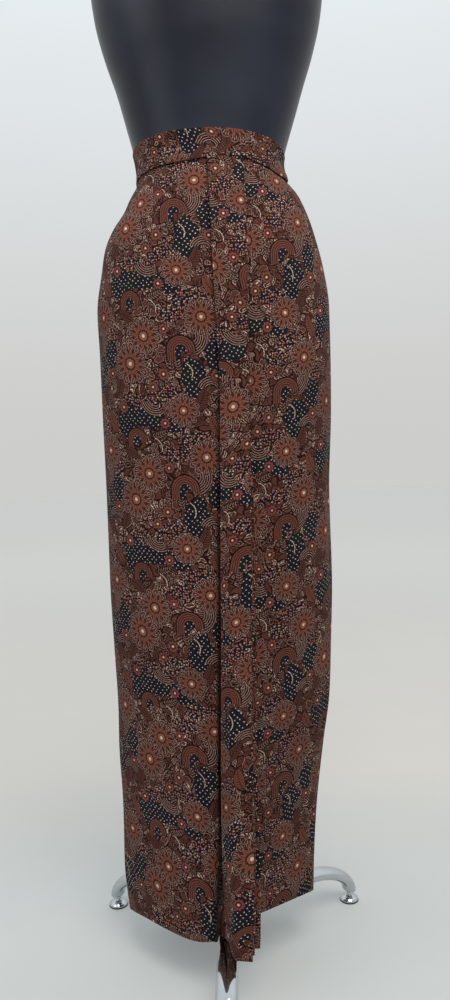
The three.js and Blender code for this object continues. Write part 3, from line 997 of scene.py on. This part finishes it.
def pleated_strip(rows=230):
    """The front strip: one length of cloth folded to and fro, which fans out as it hangs.

    The left corner of its outer layers is cut higher and curls in.
    """
    across, out, bulge = strip_columns()
    corner = (1 - eased(across, 0, 0.2)) * (out > 0.72)
    corner_rise, corner_curl = 13, 6
    top_z, end_z = WAIST_Z + 4, STRIP_END_Z + corner_rise * corner
    z = top_z + (end_z - top_z) * np.linspace(0, 1, rows)[:, None]
    hang = hang_share(z)

    # Across: the layers fan out to the right as they hang, and at the hem to the left as well.
    fan_right, fan_left = 10.4, 7 * hang * eased(z, 150, 80)
    left, right = strip_edges(z)
    left = left + (4 - 4 * hang - fan_left) * eased(0.74 - out, 0, 0.3)
    right = right + fan_right * np.clip(1 - out / 0.6, 0, 1) * hang
    x = left + (right - left) * across + bulge * (0.6 + 1.4 * hang)

    # Out: a little above the panels down to the hips, then on to set depths at the hem.
    above = skirt_section(np.maximum(z, HANG_START_Z))
    hips_x = 4.6 + 42 * across
    turn = front_turn(above, np.where(z > HANG_START_Z, x, hips_x))
    squeezed = eased(z, WAIST_Z - 50, WAIST_Z)
    rest = -outline(above, turn)[1]
    rest = rest + (3.9 - 2.0 * squeezed) + MIDDLE / 2 + (4.4 - 2.4 * squeezed) * out
    inner = 88 + 28 * eased(across, 0, 0.4) + 9 * across
    outer = 139 + 18.5 * eased(across, 0, 0.35)
    y = rest + (inner + (outer - inner) * out - rest) * hang
    curl = corner_curl * corner * eased(z, STRIP_END_Z + 60, STRIP_END_Z)

    points = np.stack([x, -(y - curl), z + 0 * x], axis=2)
    return cloth_piece("cloth_pleated_strip", points, flat_map(points),
                       ["pleat_under", "pleat_middle", "pleat_top"], (40, 95), thickness=0.45)


def waistband(rows=16, columns=230, start=196, sweep=372):
    """A band round the waist, folded over at its top, whose outer end laps over its start."""
    turn = start + np.linspace(0, sweep, columns)[None, :]
    top = edge_height(BAND_TOP, turn)
    bottom = edge_height(BAND_BOTTOM, turn)
    z = top + (bottom - top) * np.linspace(0, 1, rows)[:, None]
    turn = turn + 0 * z
    points = np.stack([*outline(form_section(np.maximum(z, WAIST_Z)), turn), z], axis=2)

    # The band lies close to the form at its top.  Lower down it passes over the panels and the
    # strip, and stands away from the hips, most on the right.
    low = eased(bottom + 18 - z, 0, 18)
    over_strip = eased(points[..., 0], -16, 2) * eased(66 - points[..., 0], 0, 18)
    over_strip = over_strip * (points[..., 1] < 0)
    slack = 7.5 * bump(turn % 360, 162, 28) + 2 * bump(turn % 360, 52, 28)
    slack *= eased(bottom + 32 - z, 0, 32)
    lap = 1.9 * eased(turn, start + 354, start + 364)
    lift = 1.3 + (1.4 + 2.4 * over_strip) * low + slack + lap
    points = points + outward(points) * lift[..., None]
    where = flat_map(points)
    points = folded(points, where, BAND_FOLDS)
    piece = cloth_piece("cloth_waistband", points, where, ["waistband"], (164, 40), thickness=1.7)
    edge = piece.modifiers.new("Soft edge", "BEVEL")
    edge.width = 0.5 * MM
    edge.segments = 3
    return piece


# ---- dress form and stand ----

def form_rings(z, inset=0, columns=120):
    """Rings of the form's outline at some heights, drawn in by an inset."""
    z = np.asarray(z, float)[:, None]
    turn = np.linspace(0, 360, columns, endpoint=False)[None, :] + 0 * z
    points = np.stack([*outline(form_section(z), turn), z + 0 * turn], axis=2)
    away = points - points.mean(axis=1, keepdims=True)
    away[..., 2] = 0
    away = away / norm(away, axis=2, keepdims=True)
    return points - away * np.reshape(inset, (-1, 1, 1))


def form_lid(node, row, gap, profile, radius):
    """A lid for one end of the form, from insets and heights above a small gap."""
    edge_z = FORM["z"][row]
    profile = softened(profile, radius)
    rings = form_rings([edge_z] * len(profile), [inset for inset, _ in profile])
    for ring, (_, rise) in zip(rings, profile):
        ring[:, 2] = edge_z + gap + rise
    ring_piece(node + "_smooth", rings, FORM_SHELL, [node])


def turned_part(node, profile, radius):
    """A turned chrome part with softened corners."""
    turned_piece(node + "_smooth", softened(profile, radius), CHROME, [node])


# A leg reaches so far out, runs at one height, and bends down over the last part of its way.
LEG_REACH, LEG_Z = 222, 62.5
BEND_ACROSS, BEND_DOWN = 82, 44.5


def leg_path(hub_radius=24.3, handle=0.5523):
    """Distances from the pole and heights.  The handle rounds the bend like an ellipse."""
    start = np.array([LEG_REACH - BEND_ACROSS, LEG_Z])
    end = np.array([LEG_REACH, LEG_Z - BEND_DOWN])
    first, second = start + (handle * BEND_ACROSS, 0), end + (0, handle * BEND_DOWN)
    t = np.linspace(0, 1, 40)[:, None]
    bend = ((1 - t) ** 3 * start + 3 * (1 - t) ** 2 * t * first
            + 3 * (1 - t) * t ** 2 * second + t ** 3 * end)
    run = np.linspace(hub_radius, start[0], 20, endpoint=False)
    return np.concatenate([np.stack([run, np.full(20, LEG_Z)], 1), bend])


def leg(side, heading, wide=14.7, high=9.5, end_sizes=(0.86, 0.97)):
    """An oval tube with softened ends, straight out from the hub and then down to its foot."""
    path = leg_path()
    way = np.gradient(path, axis=0)
    way /= norm(way, axis=1, keepdims=True)
    angles = np.linspace(0, TURN, 40, endpoint=False)[::-1]
    forward = np.array([cos(heading), sin(heading), 0])
    sideways = np.array([-sin(heading), cos(heading), 0])
    sizes = [*end_sizes, *[1] * (len(path) - 4), *end_sizes[::-1]]
    rings = []
    for (x, z), (dx, dz), size in zip(path, way, sizes):
        middle = forward * x + np.array([0, 0, z])
        up = (forward * -dz + np.array([0, 0, dx])) * high
        across = sideways * wide
        rings.append([middle + size * (up * sin(a) + across * cos(a)) for a in angles])
    ring_piece(f"leg_{side}_smooth", rings, CHROME, [f"leg_{side}"])


def foot(side, heading, threads=7):
    """A domed levelling foot on a screw, with a rubber ring under its rim."""
    centre = (LEG_REACH * cos(heading), LEG_REACH * sin(heading))
    screw = [(0.4, 17.7), (3.6, 17.7)]
    for k in range(threads):
        screw += [(4.0, 17.2 - k), (3.5, 16.7 - k)]
    dome = [(6, 9.6), (7, 9.2), (11.5, 7.2), (14.2, 5.2), (15.3, 3.2), (15.3, 2.2), (0.4, 2.2)]
    turned_piece(f"foot_{side}_dome", screw + dome, CHROME, [f"foot_{side}"], centre)
    ring = [(0.4, 2.1), (15, 2.1), (15.5, 1.6), (15.5, 0.6), (14.9, 0), (0.4, 0)]
    turned_piece(f"foot_{side}_pad", ring, RUBBER, [], centre)


# The body's rings lie close together where its lower edge turns in.
heights = np.concatenate([np.linspace(1639.5, 788, 190), [785, 782.5, 781, 780.2]])
ring_piece("form_body", form_rings(heights), FORM_SHELL, ["form_torso"])
form_lid("form_neck_cap", 0, 0.3,
         [(44, 12.3), (44, 12), (14, 11), (4, 8), (0.5, 4.5), (0.5, 0.3), (2, 0)], radius=6)
form_lid("form_base_plate", -1, -0.3, [(5, 0), (4, 0), (4, -8), (8, -8)], radius=2)
turned_part(
    "pole_flange",
    [(0.5, 771.4), (30, 771.4), (30, 761.4), (17, 761.4), (15.5, 758), (12.6, 758)], radius=2)
turned_part("pole", [(0.5, 761.1), (12.5, 761.1), (12.5, 84.3), (0.5, 84.3)], radius=0.6)
turned_part(
    "tripod_hub",
    [(0.5, 84), (24, 84), (24, 66), (23, 65), (23, 61), (24, 60), (24, 42), (0.5, 42)],
    radius=1.5)
for side, degrees in (("front", -92), ("right", 30), ("left", 150)):
    leg(side, radians(degrees))
    foot(side, radians(degrees))

band = waistband()
left = front_left_panel()
right = front_right_panel()
back = back_panel()
strip = pleated_strip()


# ---- camera, floor and light ----

def add_camera(lens=0.761, place=(0.0248, -1.135, 0.714), turn=0.865, down=1.96, roll=-1.75):
    """At the height of the hips, a little to the right, looking slightly down.

    The lens is a share of the frame's height, and the place is measured from the pole.
    """
    data = bpy.data.cameras.new("camera")
    data.sensor_width = 36
    data.lens = lens * data.sensor_width
    camera = new_object("camera", data)
    turn, tilt, roll = (radians(angle) for angle in (turn, 90 - down, roll))
    place = Matrix.Translation((POLE.x + place[0], POLE.y + place[1], place[2]))
    rotation = Matrix.Rotation(turn, 4, "Z") @ Matrix.Rotation(tilt, 4, "X")
    camera.matrix_world = place @ rotation @ Matrix.Rotation(roll, 4, "Z")
    bpy.context.scene.camera = camera


# The room's tone changes between these, as a heading's y goes from the front to the back.
TO_THE_BACK = (-0.8, 0.1)


def add_floor(size=60, glow=0.235):
    """A pale floor, which grows warmer behind the stand.

    It glows faintly by the stand, painted light that lightens the shadow under the skirt, and
    takes on the room's tone as it runs far away.
    """
    nodes = Nodes(bpy.data.materials.new("floor"))
    place = nodes.new("TexCoord", "Object")
    cloud = nodes.grain(scale=3, detail=4)
    y, distance = place.parts()[1], place.length()
    near = nodes.mix("9a9e9d", "a6a8a7", cloud)
    beyond = nodes.mix("aca7a1", "b3aea8", cloud)
    near = nodes.mix(near, beyond, nodes.ramp(y, 0.15, 0.8))
    far = nodes.mix("bfbcb7", "e4e0da", nodes.ramp(y / distance, *TO_THE_BACK))
    away = nodes.ramp(distance, 0.5, 6.0)
    bpy.ops.mesh.primitive_plane_add(size=size)
    floor = bpy.context.object
    floor.name = "floor"
    # The emission near the stand is painted light, which lightens the floor's shadow under the
    # skirt.
    floor.data.materials.append(nodes.looks(
        Base_Color=nodes.mix(near, far, away), Roughness=0.7, Specular_IOR_Level=0.1,
        Emission_Color="d4d8d7", Emission_Strength=away * -glow + glow))


def add_light(name, place, size, power, colour, aim_z=0.8):
    """A square soft light, aimed at the middle of the stand."""
    data = bpy.data.lights.new(name, "AREA")
    data.energy = power
    data.size = size
    data.color = linear(colour)[:3]
    light = new_object(name, data)
    light.location = place
    aim = Vector((0, 0, aim_z)) - light.location
    light.rotation_euler = aim.to_track_quat("-Z", "Y").to_euler()


def add_world():
    """A pale room: lightest overhead, and darker behind the camera."""
    nodes = Nodes(bpy.data.worlds.new("studio"), "Background")
    _, y, z = nodes.new("TexCoord", "Generated").parts()
    high = nodes.ramp(z, 0.0, 0.8)
    bpy.context.scene.world = nodes.looks(
        Color=nodes.mix("d5d5d3", "dde5ea", high),
        Strength=high * 0.28 + 0.62 + nodes.ramp(y, *TO_THE_BACK) * 0.3)


add_camera()
add_floor()
add_world()
add_light("overhead", (0.5, -1.3, 2.9), size=1.8, power=65, colour="fffaf2")
add_light("side", (-2.0, -1.5, 2.4), size=1.5, power=17, colour="f6f8ff")
bpy.context.scene.view_settings.view_transform = "Standard"
